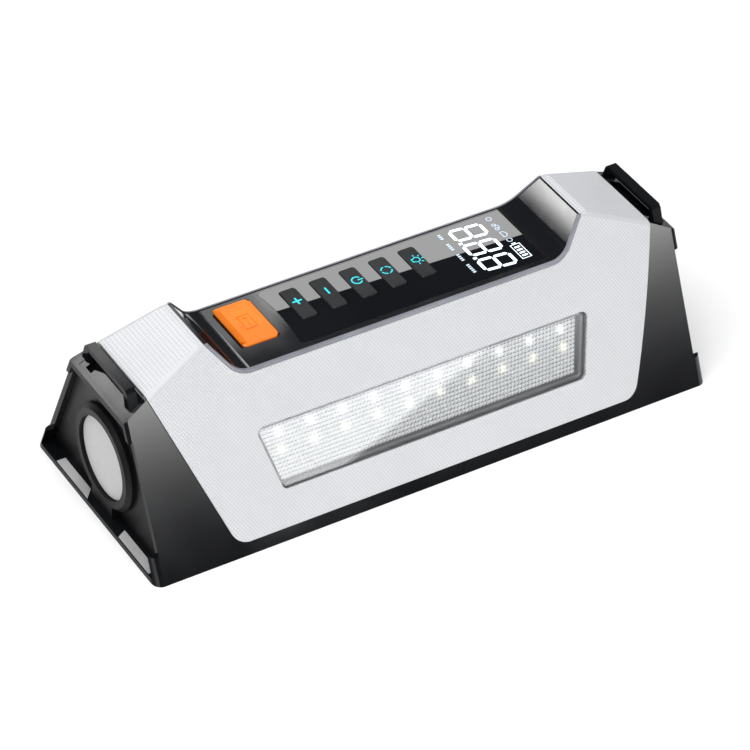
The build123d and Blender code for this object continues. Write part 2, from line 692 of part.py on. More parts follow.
# rubber cover: plate, plug, raised finger lip and a sunk battery sign
PLATE_LOW = PANEL_Z - PORT_PLATE + PORT_PROUD
PLUG_DEPTH = 2.6
COVER_BEAD = PORT_PLATE / 2    # the hinge edge is a half-round bead that turns in place
with BuildPart() as jump_port_cover:
    with BuildSketch(Plane.XY.offset(PLATE_LOW)):
        with Locations((PORT_MID[0] - COVER_BEAD / 2, PORT_MID[1])):
            RectangleRounded(PORT_SIZE[0] - COVER_BEAD, PORT_SIZE[1], 1.8)
    extrude(amount=PORT_PLATE)
    top_edges = jump_port_cover.faces().sort_by(Axis.Z)[-1].edges()
    chamfer(top_edges, length=0.3)
    with BuildSketch(Plane.XZ.offset(-PORT_Y[0] - 1.8)):
        with Locations((PORT_X[1] - COVER_BEAD, PLATE_LOW + COVER_BEAD)):
            Circle(COVER_BEAD)
    extrude(amount=-(PORT_SIZE[1] - 3.6))
    with BuildSketch(Plane.XY.offset(PLATE_LOW - PLUG_DEPTH)):
        with Locations((PORT_MID[0] + 0.2, PORT_MID[1])):
            RectangleRounded(CAVITY[0] - 1.6, CAVITY[1] - 1.0, 0.8)
            RectangleRounded(CAVITY[0] - 4.0, CAVITY[1] - 3.4, 0.6, mode=Mode.SUBTRACT)
    extrude(amount=PLUG_DEPTH + 0.2)
    with BuildSketch(Plane.XZ.offset(-PORT_Y[0] - 1.6)):
        with BuildLine():
            Polyline(
                (PORT_X[0] + 2.6, PLATE_LOW + 0.9),
                (PORT_X[0] + 2.2, PLATE_LOW + PORT_PLATE),
                (PORT_X[0] - 0.1, PLATE_LOW + PORT_PLATE + 1.0),
                (PORT_X[0] - 0.5, PLATE_LOW + PORT_PLATE + 0.4),
                (PORT_X[0] + 0.3, PLATE_LOW + 0.9),
                close=True,
            )
        make_face()
    extrude(amount=-(PORT_SIZE[1] - 3.2))
    with BuildSketch(Plane.XY.offset(PLATE_LOW + PORT_PLATE - 0.3)):
        with Locations((PORT_MID[0] + 0.4, PORT_MID[1])):
            Rectangle(5.0, 8.0)
            Rectangle(4.0, 7.0, mode=Mode.SUBTRACT)
        with Locations(*[(PORT_MID[0] - 2.6, y) for y in (PORT_MID[1] - 2.2, PORT_MID[1] + 2.2)]):
            Rectangle(1.0, 1.6)
        with Locations((PORT_MID[0] + 0.4, PORT_MID[1] - 1.9)):
            Rectangle(0.6, 2.0)
        with Locations((PORT_MID[0] + 0.4, PORT_MID[1] + 1.9)):
            Rectangle(0.6, 2.0)
            Rectangle(2.0, 0.6)
    extrude(amount=2, mode=Mode.SUBTRACT)
save(jump_port_cover, "jump_port_cover")

# ---------------------------------------------------------------- work light

LENS_PROUD = 0.35
LENS_THICK = 1.5
TRAY_TOP = COVER_INSET + 0.1
PRISM_DEPTH = 4.2
PRISM_THICK = 1.4
BOARD_DEPTH = LAMP_DEPTH - 1.0
LED_SPOTS = [
    (LED_PITCH * (column - (LED_COLUMNS - 1) / 2), row)
    for row in LED_ROWS
    for column in range(LED_COLUMNS)
]

# clear lens, set flush into the cover, with a bevelled outer edge
with BuildPart() as lamp_lens:
    extrude(lamp_outline(-0.15, -LENS_PROUD), amount=-LENS_THICK)
    outer = lamp_lens.faces().filter_by(
        lambda face: face.normal_at().dot(Vector(0, -1, LEAN).normalized()) > 0.999
    )
    chamfer(outer.edges(), length=0.8)
save(lamp_lens, "lamp_lens")

# tray behind the cover: a rim under the lens and walls that lean in to the LED board
with BuildPart() as lamp_tray:
    extrude(lamp_outline(2.2, TRAY_TOP), amount=-1.2)
    extrude(lamp_outline(-0.4, TRAY_TOP + 1.0), amount=TRAY_TOP + 1.0 - LAMP_DEPTH)
    tray_depth = LAMP_DEPTH - TRAY_TOP - 1.2
    extrude(lamp_outline(-1.6, TRAY_TOP - 0.1), amount=-tray_depth, mode=Mode.SUBTRACT)
save(lamp_tray, "lamp_tray")

with BuildPart() as lamp_prism_plate:
    extrude(lamp_outline(-1.75, PRISM_DEPTH), amount=-PRISM_THICK)
save(lamp_prism_plate, "lamp_prism_plate")

with BuildPart() as lamp_board:
    extrude(lamp_outline(-1.9, BOARD_DEPTH - 1.3), amount=-0.98)
save(lamp_board, "lamp_board")

with BuildPart() as lamp_leds:
    with BuildSketch(lean_plane(-1, BOARD_DEPTH - 1.3, LAMP_X)):
        with Locations(*LED_SPOTS):
            Rectangle(2.8, 3.5)
    extrude(amount=0.75)
save(lamp_leds, "lamp_leds")

# ---------------------------------------------------------------- battery and main board

CELL_X = (-90.0, 22.0)
CELL_Y = (-13.0, 25.0)
CELL_THICK = 6.8
CELL_PITCH = 7.1
CELL_BASE = 4.4
CELL_COUNT = 4

TRAY_X = (CELL_X[0] - 2, CELL_X[1] + 2)
TRAY_Y = (CELL_Y[0] - 2, CELL_Y[1] + 2)
TRAY_LIP = 1.7            # thickness of the low walls around the cells

with BuildPart() as battery_tray:
    add(box_between(TRAY_X, TRAY_Y, (WALL + 0.1, CELL_BASE - 0.1)))
    for x in (TRAY_X[0], TRAY_X[1] - TRAY_LIP):
        add(box_between((x, x + TRAY_LIP), TRAY_Y, (WALL + 0.1, 22)))
    for y in (TRAY_Y[0], TRAY_Y[1] - TRAY_LIP):
        add(box_between(TRAY_X, (y, y + TRAY_LIP), (WALL + 0.1, 12)))
save(battery_tray, "battery_tray")

for number in range(CELL_COUNT):
    base = CELL_BASE + number * CELL_PITCH
    with BuildPart() as battery_cell:
        add(box_between((CELL_X[0] + 6, CELL_X[1]), CELL_Y, (base, base + CELL_THICK)))
        fillet(battery_cell.edges().filter_by(Axis.X), radius=1.6)
        # two foil tabs at the -X end
        for y in (CELL_Y[0] + 9, CELL_Y[1] - 9):
            middle = base + CELL_THICK / 2
            tab_z = (middle - 0.15, middle + 0.15)
            add(box_between((CELL_X[0] + 1, CELL_X[0] + 6.5), (y - 4, y + 4), tab_z))
    save(battery_cell, f"battery_cell_{number + 1}")

MAIN_BOARD_Z = 36.4
with BuildPart() as main_board:
    add(box_between((-88, 20), (-14, 22.5), (MAIN_BOARD_Z - 1.6, MAIN_BOARD_Z)))
    with Locations(*[(x, y, MAIN_BOARD_Z) for x in (-84, 16) for y in (-10.5, 19)]):
        Cylinder(1.5, 10, mode=Mode.SUBTRACT)
save(main_board, "main_board")

with BuildPart() as board_inductors:
    with Locations(*[(x, 12, MAIN_BOARD_Z + 2.6) for x in (-28, -14)]):
        Box(10, 10, 5.16)
    fillet(board_inductors.edges().filter_by(Axis.Z), radius=1.5)
save(board_inductors, "board_inductors")

with BuildPart() as board_capacitors:
    with Locations(*[(x, 12, MAIN_BOARD_Z + 5.02) for x in (0, 9)]):
        Cylinder(4, 10)
save(board_capacitors, "board_capacitors")

with BuildPart() as board_chips:
    with Locations((-20, -5, MAIN_BOARD_Z + 0.62), (2, -6, MAIN_BOARD_Z + 0.62)):
        Box(7, 7, 1.2)
    with Locations(*[(-76 + 7 * column, -6, MAIN_BOARD_Z + 1.22) for column in range(3)]):
        Box(5, 6, 2.4)
save(board_chips, "board_chips")

# ---------------------------------------------------------------- socket bay at the back

BAY_MID = (BAY_X[0] + BAY_X[1]) / 2
BAY_V_MID = (BAY_V[0] + BAY_V[1]) / 2
BAY_SIZE = (BAY_X[1] - BAY_X[0], BAY_V[1] - BAY_V[0])
BAY_FLOOR = 4.4
FLAP_THICK = 1.6
FLAP_TOP = -0.2           # the flap's face lies just under the cover's face
USB_A_X = -9.5            # places along the bay, from its middle
USB_C_X = 4.5
RESET_X = 13.2

with BuildPart() as bay_tray:
    with BuildSketch(lean_plane(1, COVER_INSET + 0.1, BAY_MID)):
        with Locations((0, BAY_V_MID)):
            RectangleRounded(BAY_SIZE[0] + 4, BAY_SIZE[1] + 4, 3)
    extrude(amount=-(BAY_FLOOR + 1.6 - COVER_INSET))
    with BuildSketch(lean_plane(1, COVER_INSET, BAY_MID)):
        with Locations((0, BAY_V_MID)):
            RectangleRounded(BAY_SIZE[0] - 0.6, BAY_SIZE[1] - 0.6, 2.2)
    extrude(amount=-(BAY_FLOOR - COVER_INSET), mode=Mode.SUBTRACT)
    with BuildSketch(lean_plane(1, COVER_INSET, BAY_MID)):
        with Locations((USB_A_X, BAY_V_MID)):
            Rectangle(14.8, 7.5)
        with Locations((USB_C_X, BAY_V_MID)):
            RectangleRounded(9.6, 3.9, 1.8)
        with Locations((RESET_X, BAY_V_MID)):
            Circle(2.6)
    extrude(amount=-12, mode=Mode.SUBTRACT)
save(bay_tray, "bay_tray")

with BuildPart() as usb_a_socket:
    with BuildSketch(lean_plane(1, BAY_FLOOR, BAY_MID)):
        with Locations((USB_A_X, BAY_V_MID)):
            Rectangle(14.4, 7.1)
    extrude(amount=-13)
    with BuildSketch(lean_plane(1, BAY_FLOOR, BAY_MID)):
        with Locations((USB_A_X, BAY_V_MID)):
            Rectangle(12.6, 5.2)
    extrude(amount=-9.5, mode=Mode.SUBTRACT)
save(usb_a_socket, "usb_a_socket")

with BuildPart() as usb_a_tongue:
    with BuildSketch(lean_plane(1, BAY_FLOOR + 1.2, BAY_MID)):
        with Locations((USB_A_X, BAY_V_MID + 1.55)):
            Rectangle(11.4, 1.6)
    extrude(amount=-8.2)
save(usb_a_tongue, "usb_a_tongue")

with BuildPart() as usb_c_socket:
    with BuildSketch(lean_plane(1, BAY_FLOOR, BAY_MID)):
        with Locations((USB_C_X, BAY_V_MID)):
            RectangleRounded(9.2, 3.5, 1.65)
    extrude(amount=-8)
    with BuildSketch(lean_plane(1, BAY_FLOOR, BAY_MID)):
        with Locations((USB_C_X, BAY_V_MID)):
            RectangleRounded(8.4, 2.7, 1.3)
    extrude(amount=-6.5, mode=Mode.SUBTRACT)
    with BuildSketch(lean_plane(1, BAY_FLOOR + 1.0, BAY_MID)):
        with Locations((USB_C_X, BAY_V_MID)):
            Rectangle(6.2, 0.7)
    extrude(amount=-6.2)
save(usb_c_socket, "usb_c_socket")

BUTTON_REACH = 4.0
PORT_BOARD_DEPTH = BAY_FLOOR + 13.2
with BuildPart() as reset_button:
    with BuildSketch(lean_plane(1, BAY_FLOOR - 0.3, BAY_MID)):
        with Locations((RESET_X, BAY_V_MID)):
            Circle(2.35)
    extrude(amount=-BUTTON_REACH)
    with BuildSketch(lean_plane(1, BAY_FLOOR + 2.1, BAY_MID)):
        with Locations((RESET_X, BAY_V_MID)):
            Circle(3.2)
    extrude(amount=-1.2)
save(reset_button, "reset_button")

with BuildPart() as reset_switch:
    with BuildSketch(lean_plane(1, BAY_FLOOR + BUTTON_REACH + 0.8, BAY_MID)):
        with Locations((RESET_X, BAY_V_MID)):
            Rectangle(5, 5)
    extrude(amount=-(PORT_BOARD_DEPTH - BAY_FLOOR - BUTTON_REACH - 0.82))
save(reset_switch, "reset_switch")

with BuildPart() as port_board:
    with BuildSketch(lean_plane(1, PORT_BOARD_DEPTH, BAY_MID)):
        with Locations((0, BAY_V_MID)):
            Rectangle(36, 13)
    extrude(amount=-1.4)
save(port_board, "port_board")

# rubber flap over the bay, hinged along its lower edge
FLAP_BEAD = FLAP_THICK / 2
FLAP_SIZE = (BAY_SIZE[0] - 0.6, BAY_SIZE[1] - 0.6)
with BuildPart() as port_flap:
    with BuildSketch(lean_plane(1, FLAP_TOP, BAY_MID)):
        with Locations((0, BAY_V_MID + FLAP_BEAD / 2)):
            RectangleRounded(FLAP_SIZE[0], FLAP_SIZE[1] - FLAP_BEAD, 2.6)
    extrude(amount=-FLAP_THICK)
    flap_front = port_flap.faces().filter_by(
        lambda face: face.normal_at().dot(Vector(0, 1, LEAN).normalized()) > 0.999
    )
    chamfer(flap_front.edges(), length=0.35)
    bead_line = lean_plane(1, FLAP_TOP + FLAP_BEAD, BAY_MID)
    bead_length = FLAP_SIZE[0] - 4.4
    bead_v = BAY_V_MID - FLAP_SIZE[1] / 2 + FLAP_BEAD
    bead_start = bead_line.from_local_coords((-bead_length / 2, bead_v, 0))
    with BuildSketch(Plane(origin=bead_start, x_dir=bead_line.z_dir, z_dir=bead_line.x_dir)):
        Circle(FLAP_BEAD)
    extrude(amount=bead_length)
    with BuildSketch(lean_plane(1, FLAP_TOP, BAY_MID)):
        with Locations((0, BAY_V[1] - 2.6)):
            SlotOverall(12, 2.2)
    extrude(amount=-0.5, mode=Mode.SUBTRACT)
save(port_flap, "port_flap")

# ---------------------------------------------------------------- compressor

with BuildPart() as motor_can:
    with BuildSketch(Plane.YZ.offset(MOTOR_X[0])):
        with Locations((MOTOR_Y, MOTOR_Z)):
            Circle(MOTOR_R)
    extrude(amount=MOTOR_X[1] - MOTOR_X[0])
    chamfer(motor_can.edges().filter_by(GeomType.CIRCLE), length=0.8)
    with BuildSketch(Plane.YZ.offset(MOTOR_X[0] + 1.5)):
        with Locations((MOTOR_Y, MOTOR_Z)):
            Circle(MOTOR_R - 1.5)
    extrude(amount=MOTOR_X[1] - MOTOR_X[0] - 3, mode=Mode.SUBTRACT)
    with BuildSketch(Plane.YZ.offset(MOTOR_X[0])):
        with Locations((MOTOR_Y, MOTOR_Z)):
            Circle(1.55)
    extrude(amount=MOTOR_X[1] - MOTOR_X[0], mode=Mode.SUBTRACT)
save(motor_can, "motor_can")


def gear_outline(teeth, centre, plane, turn):
    """Spur gear outline with straight-flanked teeth, a little thinner than the gaps."""
    pitch_r = GEAR_MODULE * teeth / 2
    root_r = pitch_r - 1.25 * GEAR_MODULE
    tip_r = pitch_r + 0.9 * GEAR_MODULE
    step = 2 * math.pi / teeth
    spots = []
    for tooth in range(teeth):
        middle = tooth * step + turn
        for radius, share in ((root_r, -0.33), (tip_r, -0.11), (tip_r, 0.11), (root_r, 0.33)):
            angle = middle + share * step
            spots.append((centre[0] + radius * math.cos(angle), centre[1] + radius * math.sin(angle)))
    with BuildSketch(plane) as outline:
        with BuildLine():
            Polyline(*spots, close=True)
        make_face()
    return outline.sketch


with BuildPart() as motor_rotor:
    with BuildSketch(Plane.YZ.offset(MOTOR_X[0] - 2)):
        with Locations((MOTOR_Y, MOTOR_Z)):
            Circle(1.5)
    extrude(amount=GEAR_X[1] - MOTOR_X[0] + 2)
    with BuildSketch(Plane.YZ.offset(MOTOR_X[0] + 5)):
        with Locations((MOTOR_Y, MOTOR_Z)):
            Circle(MOTOR_R - 3)
    extrude(amount=MOTOR_X[1] - MOTOR_X[0] - 12)
    pinion_face = gear_outline(PINION_TEETH, (MOTOR_Y, MOTOR_Z), Plane.YZ.offset(GEAR_X[0]), 0)
    extrude(pinion_face, amount=GEAR_X[1] - GEAR_X[0])
save(motor_rotor, "motor_rotor")

with BuildPart() as crank_gear:
    mesh_turn = math.pi - math.pi / GEAR_TEETH
    gear_face = gear_outline(GEAR_TEETH, (GEAR_Y, MOTOR_Z), Plane.YZ.offset(GEAR_X[0] + 0.3), mesh_turn)
    extrude(gear_face, amount=GEAR_X[1] - GEAR_X[0] - 0.6)
    with BuildSketch(Plane.YZ.offset(GEAR_X[1] - 0.4)):
        with Locations((GEAR_Y, MOTOR_Z)):
            Circle(8.5)
    extrude(amount=6)
    with BuildSketch(Plane.YZ.offset(GEAR_X[1])):
        with Locations((GEAR_Y - CRANK_R, MOTOR_Z)):
            Circle(1.8)
    extrude(amount=ROD_X[0] - 0.5 - GEAR_X[1])
    with BuildSketch(Plane.YZ.offset(MOTOR_X[1] + 0.6)):
        with Locations((GEAR_Y, MOTOR_Z)):
            Circle(1.95)
    extrude(amount=GEAR_X[0] + 1 - MOTOR_X[1] - 0.6)
save(crank_gear, "crank_gear")

MANIFOLD_X = (END_FACE - END_THICK - 4.6, END_FACE - END_THICK - 0.1)

# frame plate carrying motor, gear axle and cylinder
CYLINDER_Y = (-14.0, 3.0)
FRAME_X = (MOTOR_X[1] + 0.2, MOTOR_X[1] + 2.6)
with BuildPart() as compressor_frame:
    with BuildSketch(Plane.YZ.offset(FRAME_X[0])):
        with Locations((7, MOTOR_Z - 3.2)):
            Rectangle(44, 2 * (MOTOR_Z - 3.2 - WALL) - 0.4)
        with Locations((MOTOR_Y, MOTOR_Z)):
            Circle(5.0, mode=Mode.SUBTRACT)
        with Locations((GEAR_Y, MOTOR_Z)):
            Circle(2.0, mode=Mode.SUBTRACT)
    extrude(amount=FRAME_X[1] - FRAME_X[0])
    with BuildSketch(Plane.XZ.offset(-CYLINDER_Y[0])):
        with Locations((CYLINDER_X, MOTOR_Z)):
            Circle(PISTON_R + 2)
    extrude(amount=-(CYLINDER_Y[1] - CYLINDER_Y[0]))
    arm_y = (CYLINDER_Y[0], CYLINDER_Y[0] + 6)
    foot_y = (CYLINDER_Y[0], CYLINDER_Y[0] + 8)
    add(box_between((FRAME_X[0], CYLINDER_X), arm_y, (MOTOR_Z - 6, MOTOR_Z + 6)))
    add(box_between((CYLINDER_X - 8, CYLINDER_X + 8), foot_y, (WALL + 0.1, MOTOR_Z)))
    with BuildSketch(Plane.XZ.offset(40)):
        with Locations((CYLINDER_X, MOTOR_Z)):
            Circle(PISTON_R + PISTON_PLAY)
    extrude(amount=-80, mode=Mode.SUBTRACT)
save(compressor_frame, "compressor_frame")

with BuildPart() as piston_rod:
    with BuildSketch(Plane.XZ.offset(-CYLINDER_Y[0] - 0.8)):
        with Locations((CYLINDER_X, MOTOR_Z)):
            Circle(PISTON_R)
    extrude(amount=-5)
    with BuildSketch(Plane.YZ.offset(ROD_X[0])):
        with Locations(((CYLINDER_Y[0] + 5 + GEAR_Y - CRANK_R) / 2, MOTOR_Z)):
            Rectangle(GEAR_Y - CRANK_R - CYLINDER_Y[0] - 5, 5)
        with Locations((GEAR_Y - CRANK_R, MOTOR_Z)):
            Circle(4)
            Circle(1.9, mode=Mode.SUBTRACT)
    extrude(amount=ROD_X[1] - ROD_X[0])
save(piston_rod, "piston_rod")

with BuildPart() as cylinder_head:
    with BuildSketch(Plane.XZ.offset(-CYLINDER_Y[0] + 0.1)):
        with Locations((CYLINDER_X, MOTOR_Z)):
            Circle(PISTON_R + 2)
    extrude(amount=4)
    with BuildSketch(Plane.YZ.offset(CYLINDER_X)):
        with Locations((CYLINDER_Y[0] - 2.6, MOTOR_Z)):
            Circle(2.4)
    extrude(amount=MANIFOLD_X[0] - CYLINDER_X - 0.05)
save(cylinder_head, "cylinder_head")

OUTLET_R = 4.0
OUTLET_LENGTH = 8.0
with BuildPart() as air_manifold:
    add(box_between(MANIFOLD_X, (-20, 6), (13, 30)))
    with BuildSketch(Plane.YZ.offset(MANIFOLD_X[1] - 0.2)):
        with Locations((0, TORCH_Z)):
            Circle(4.9)
    extrude(amount=END_FACE + 3.2 - MANIFOLD_X[1] + 0.2)
    with BuildSketch(Plane.YZ.offset(END_FACE + 3.2 - OUTLET_LENGTH)):
        with Locations((0, TORCH_Z)):
            Circle(OUTLET_R)
    extrude(amount=20, mode=Mode.SUBTRACT)
save(air_manifold, "air_manifold")

# ---------------------------------------------------------------- fasteners

with BuildPart() as case_screws:
    for x, y in SCREW_SPOTS:
        with BuildSketch(Plane.XY.offset(1.2)):
            with Locations((x, y)):
                Circle(2.6)
                RegularPolygon(1.1, 6, mode=Mode.SUBTRACT)
        extrude(amount=1.2)
        with BuildSketch(Plane.XY.offset(2.3)):
            with Locations((x, y)):
                Circle(2.6)
        extrude(amount=1.5)
        with BuildSketch(Plane.XY.offset(3.0)):
            with Locations((x, y)):
                Circle(SCREW_R)
        extrude(amount=14)
save(case_screws, "case_screws")

with BuildPart() as rubber_feet:
    with BuildSketch(Plane.XY):
        with Locations(*FOOT_SPOTS):
            Circle(FOOT_R)
    extrude(amount=FOOT_SUNK)
save(rubber_feet, "rubber_feet")
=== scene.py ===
import json
import math

import bmesh
import bpy
from mathutils import Matrix, Vector


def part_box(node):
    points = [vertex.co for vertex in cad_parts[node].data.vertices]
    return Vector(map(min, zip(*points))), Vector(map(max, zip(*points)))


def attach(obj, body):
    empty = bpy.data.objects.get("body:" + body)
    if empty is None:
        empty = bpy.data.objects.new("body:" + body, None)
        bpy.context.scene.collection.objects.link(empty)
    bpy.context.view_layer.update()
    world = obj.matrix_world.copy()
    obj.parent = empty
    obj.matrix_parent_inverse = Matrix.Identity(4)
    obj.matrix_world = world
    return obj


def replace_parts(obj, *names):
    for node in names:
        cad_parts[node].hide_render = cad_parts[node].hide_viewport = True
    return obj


# Looks for the car power bank. Metres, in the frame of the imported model: +X towards the
# air outlet, -Y towards the work light, +Z up, origin under the middle of the body.

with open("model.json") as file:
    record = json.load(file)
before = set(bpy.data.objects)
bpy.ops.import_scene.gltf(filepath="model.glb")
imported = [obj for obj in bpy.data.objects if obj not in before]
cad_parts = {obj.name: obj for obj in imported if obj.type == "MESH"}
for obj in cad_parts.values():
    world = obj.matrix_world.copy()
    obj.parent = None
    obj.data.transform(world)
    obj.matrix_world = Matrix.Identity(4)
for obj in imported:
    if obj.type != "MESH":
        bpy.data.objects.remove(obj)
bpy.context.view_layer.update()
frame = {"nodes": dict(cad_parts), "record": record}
nodes = frame["nodes"]
MM = 0.001

# ---------------------------------------------------------------- places read from the frame

WINDOW_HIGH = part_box("panel_window")[1]
PANEL_Z = WINDOW_HIGH.z
BEZEL_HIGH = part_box("panel_bezel")[1]
DISPLAY_LOW, DISPLAY_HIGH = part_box("display_module")
PRISM_LOW, PRISM_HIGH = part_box("lamp_prism_plate")
LEAN = 0.455                                  # inward lean of the long sides per unit of height
LEAN_LENGTH = math.hypot(1, LEAN)
FRONT_OUT = Vector((0, -1, LEAN)).normalized()
FRONT_UP = Vector((0, LEAN, 1)).normalized()
FRONT_FOOT = Vector((0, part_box("lower_shell")[0].y, 0))


def new_object(name, data):
    """Object with the given data, linked into the scene."""
    made = bpy.data.objects.new(name, data)
    bpy.context.scene.collection.objects.link(made)
    return made


# ---------------------------------------------------------------- camera, floor and light

EYE = Vector((-0.5749, -0.9177, 0.8969))
SIGHT_AZIMUTH = math.radians(32.03)
SIGHT_DOWN = math.radians(39.08)
ROLL = math.radians(1.74)
FOCAL_LENGTH = 184.8                          # mm, on a 36 mm wide sensor


def make_camera():
    """Long lens, looking down on the work-light side from the torch end."""
    camera = new_object("camera", bpy.data.cameras.new("camera"))
    flat = math.cos(SIGHT_DOWN)
    sight = Vector((
        math.sin(SIGHT_AZIMUTH) * flat,
        math.cos(SIGHT_AZIMUTH) * flat,
        -math.sin(SIGHT_DOWN),
    ))
    camera.rotation_mode = "QUATERNION"
    camera.location = EYE
    camera.rotation_quaternion = (
        sight.to_track_quat("-Z", "Y") @ Matrix.Rotation(ROLL, 3, "Z").to_quaternion()
    )
    camera.data.lens = FOCAL_LENGTH
    camera.data.sensor_width = 36
    camera.data.clip_start = 0.05
    camera.data.clip_end = 20
    bpy.context.scene.camera = camera


def area_light(name, place, target, size, power):
    """Rectangular soft light at place, facing target."""
    data = bpy.data.lights.new(name, "AREA")
    data.shape = "RECTANGLE"
    data.size, data.size_y = size
    data.energy = power
    light = new_object(name, data)
    light.location = place
    light.rotation_mode = "QUATERNION"
    light.rotation_quaternion = (Vector(target) - Vector(place)).to_track_quat("-Z", "Y")
    return light


def card_material(name, glow, low, high, power):
    """Even glow or, where a power is given, one that grows with height from low to high."""
    material = bpy.data.materials.new(name)
    material.use_nodes = True
    tree = material.node_tree
    tree.nodes.clear()
    emit = tree.nodes.new("ShaderNodeEmission")
    emit.inputs["Strength"].default_value = glow
    output = tree.nodes.new("ShaderNodeOutputMaterial")
    tree.links.new(emit.outputs["Emission"], output.inputs["Surface"])
    if power is None:
        return material
    split = tree.nodes.new("ShaderNodeSeparateXYZ")
    tree.links.new(tree.nodes.new("ShaderNodeTexCoord").outputs["Object"], split.inputs["Vector"])
    spread = tree.nodes.new("ShaderNodeMapRange")
    tree.links.new(split.outputs["Z"], spread.inputs["Value"])
    spread.inputs["From Min"].default_value = low
    spread.inputs["From Max"].default_value = high
    last = spread.outputs["Result"]
    for operation, amount in (("POWER", power), ("MULTIPLY", glow)):
        step = tree.nodes.new("ShaderNodeMath")
        step.operation = operation
        tree.links.new(last, step.inputs[0])
        step.inputs[1].default_value = amount
        last = step.outputs["Value"]
    tree.links.new(last, emit.inputs["Strength"])
    return material


def mirror_card(name, spots, outward, far, glow, fade=(0.0, 1.0, None), lights=True):
    """Glowing card placed so that a flat glossy face shows it between the given spots.

    spots are corners on the face, outward is its unit normal, far the way from face to card.
    fade is two shares of the way from the first corner up to the third, and a power: the glow
    grows with height from nothing at the first share to full at the second.
    lights tells whether the card also lights matt surfaces.
    """
    middle = sum(spots, Vector()) / len(spots)
    under_eye = EYE - outward * (2 * (EYE - middle).dot(outward))
    reach = 1 + far / (EYE - middle).length
    places = [under_eye + (spot - under_eye) * reach for spot in spots]
    mesh = bpy.data.meshes.new(name)
    mesh.from_pydata(places, [], [tuple(range(len(places)))])
    card = new_object(name, mesh)
    dark_share, full_share, power = fade
    foot, rise = places[0].z, places[2].z - places[0].z
    mesh.materials.append(
        card_material(name, glow, foot + rise * dark_share, foot + rise * full_share, power)
    )
    card.visible_camera = False
    card.visible_diffuse = lights


def on_front(x, up):
    """Point on the leaning front face, up millimetres along it from its foot."""
    return FRONT_FOOT + FRONT_UP * (up * MM) + Vector((x * MM, 0, 0))


def ramp_outward():
    """Mean outward normal of the flat ramp at the display end of the panel."""
    total = Vector()
    for face in nodes["panel_bezel"].data.polygons:
        if face.normal.x < -0.7 and abs(face.normal.y) < 0.05 and face.center.x > WINDOW_HIGH.x:
            total += face.normal * face.area
    return total.normalized()


def hood_slope():
    """Outward normal and middle of the strap plate's sloping face at the torch end."""
    total, middle, area = Vector(), Vector(), 0.0
    for face in nodes["left_strap_bar"].data.polygons:
        if -0.95 < face.normal.x < -0.2 and face.normal.z > 0.3 and abs(face.normal.y) < 0.05:
            total += face.normal * face.area
            middle += face.center * face.area
            area += face.area
    return total.normalized(), middle / area


def on_plane(middle, side, up, corners):
    """Corners given as (along side, along up) in mm on the plane through middle."""
    return [middle + side * (a * MM) + up * (b * MM) for a, b in corners]


def make_cards():
    """Cards that the glossy faces mirror towards the camera."""
    x_way, y_way, z_way = Vector((1, 0, 0)), Vector((0, 1, 0)), Vector((0, 0, 1))
    panel_zero = Vector((0, 0, PANEL_Z))
    panel = on_plane(panel_zero, x_way, y_way, ((-41, 4.9), (66, 0.3), (66, 22), (-41, 26)))
    mirror_card("panel_card", panel, z_way, 0.62, 5.7)
    port = on_plane(panel_zero, x_way, y_way, ((-116, -6), (-41.5, -6), (-41.5, 26), (-116, 26)))
    mirror_card("port_card", port, z_way, 0.62, 2.2)
    ramp_out = ramp_outward()
    ramp_up = Vector((ramp_out.z, 0, -ramp_out.x))
    crest = Vector((BEZEL_HIGH.x, 0, BEZEL_HIGH.z))
    ramp = on_plane(crest, y_way, ramp_up, ((24, -12), (24, 8), (-24, 8), (-24, -12)))
    mirror_card("ramp_card", ramp, ramp_out, 0.40, 13.5, (0.0, 0.45, 2.0))
    hood_out, hood_middle = hood_slope()
    hood_down = Vector((-hood_out.z, 0, hood_out.x))
    hood = on_plane(hood_middle, y_way, hood_down, ((20, 8), (20, -8), (-20, -8), (-20, 8)))
    mirror_card("hood_card", hood, hood_out, 0.45, 5.0, lights=False)
    lens = [on_front(-75, 50), on_front(-75, 10), on_front(-60, 10), on_front(53, 50)]
    mirror_card("lens_card", lens, FRONT_OUT, 0.40, 4.3)
    cheeks = [on_front(-170, -110), on_front(170, -110), on_front(170, 90), on_front(-170, 90)]
    mirror_card("cheek_card", cheeks, FRONT_OUT, 0.50, 15.0, (0.35, 1.0, 4.6), lights=False)


def make_stage():
    """Plain pale floor and soft studio lights."""
    mesh = bpy.data.meshes.new("floor")
    half = 4.0
    corners = [(x, y, 0) for x, y in bar(-half, -half, half, half)]
    mesh.from_pydata(corners, [], [(0, 1, 2, 3)])
    floor = new_object("floor", mesh)
    floor.data.materials.append(plain_floor())
    world = bpy.data.worlds.new("studio")
    world.use_nodes = True
    background = world.node_tree.nodes["Background"]
    background.inputs["Color"].default_value = (0.92, 0.95, 1.0, 1)
    background.inputs["Strength"].default_value = 0.08
    bpy.context.scene.world = world
    area_light("top_box", (-0.25, 0.0, 1.6), (0, 0, 0), (1.6, 1.6), 31)
    area_light("end_box", (-1.2, -0.2, 0.7), (0, 0, 0.03), (0.8, 0.8), 4)
    fill = area_light("front_fill", (-0.2, -1.3, 0.9), (0, 0, 0.03), (0.8, 0.8), 9)
    fill.visible_glossy = False
    make_cards()
    bpy.context.scene.view_settings.view_transform = "Standard"


# ---------------------------------------------------------------- material helpers

